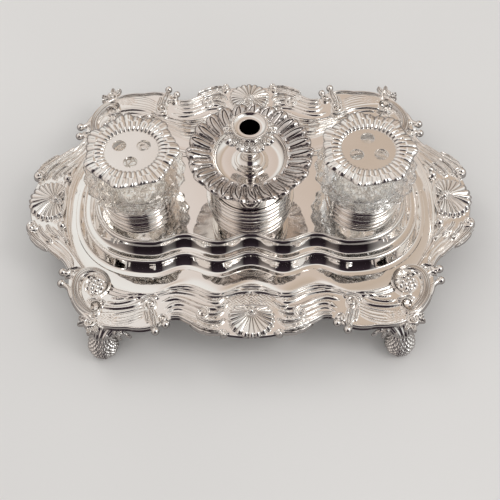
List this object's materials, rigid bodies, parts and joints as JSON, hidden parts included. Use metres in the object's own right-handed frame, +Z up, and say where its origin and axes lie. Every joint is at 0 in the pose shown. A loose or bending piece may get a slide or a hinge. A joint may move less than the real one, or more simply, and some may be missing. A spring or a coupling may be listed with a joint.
{
  "type": "desk inkstand",
  "caption": "Silver-plated desk inkstand: shaped tray with shells and scrolls, wavy stepped platform, cut-glass wells with pierced lids and a taper stick on a wafer pot.",
  "frame": {"origin": "on the table top, under the middle of the tray", "axes": "+X along the tray's long side to the right as seen from the front, +Y to the back, +Z up"},
  "size_m": [0.302, 0.2156, 0.1054],
  "materials": {
    "silver": "polished silver plate",
    "cast_silver": "cast and chased silver plate, darker in the hollows",
    "glass": "clear cut glass"
  },
  "bodies": {
    "stand": {"tray_floor": "silver", "tray_border": "silver", "platform": "silver", "rim_bead": "cast_silver", "shell_left": "cast_silver", "shell_right": "cast_silver", "shell_front": "cast_silver", "shell_back": "cast_silver", "scroll_front_left": "cast_silver", "scroll_front_right": "cast_silver", "scroll_back_left": "cast_silver", "scroll_back_right": "cast_silver", "leaves_left": "cast_silver", "leaves_right": "cast_silver", "leaves_front": "cast_silver", "leaves_back": "cast_silver", "foot_front_left": "cast_silver", "foot_front_right": "cast_silver", "foot_back_left": "cast_silver", "foot_back_right": "cast_silver", "collar_left": "silver", "collar_centre": "silver", "collar_right": "silver"},
    "inkwell_left": {"glass_left": "glass", "neck_mount_left": "silver"},
    "inkwell_right": {"glass_right": "glass", "neck_mount_right": "silver"},
    "lid_left": {"quill_plate_left": "silver", "lid_border_left": "cast_silver", "lid_bezel_left": "silver"},
    "lid_right": {"quill_plate_right": "silver", "lid_border_right": "cast_silver", "lid_bezel_right": "silver"},
    "wafer_pot": {"wafer_pot": "silver"},
    "taperstick": {"pan": "silver", "pan_border": "cast_silver", "stem": "silver"},
    "nozzle": {"nozzle": "silver", "nozzle_leaves": "cast_silver"}
  },
  "joints": [
    {"name": "inkwell_left_lift", "type": "slide", "parent": "stand", "child": "inkwell_left", "axis": [0, 0, 1], "range_m": [0, 0.12]},
    {"name": "inkwell_right_lift", "type": "slide", "parent": "stand", "child": "inkwell_right", "axis": [0, 0, 1], "range_m": [0, 0.12]},
    {"name": "lid_left_lift", "type": "slide", "parent": "inkwell_left", "child": "lid_left", "axis": [0, 0, 1], "range_m": [0, 0.08]},
    {"name": "lid_right_lift", "type": "slide", "parent": "inkwell_right", "child": "lid_right", "axis": [0, 0, 1], "range_m": [0, 0.08]},
    {"name": "wafer_pot_lift", "type": "slide", "parent": "stand", "child": "wafer_pot", "axis": [0, 0, 1], "range_m": [0, 0.12]},
    {"name": "taperstick_lift", "type": "slide", "parent": "wafer_pot", "child": "taperstick", "axis": [0, 0, 1], "range_m": [0, 0.1]},
    {"name": "nozzle_lift", "type": "slide", "parent": "taperstick", "child": "nozzle", "axis": [0, 0, 1], "range_m": [0, 0.06]}
  ]
}
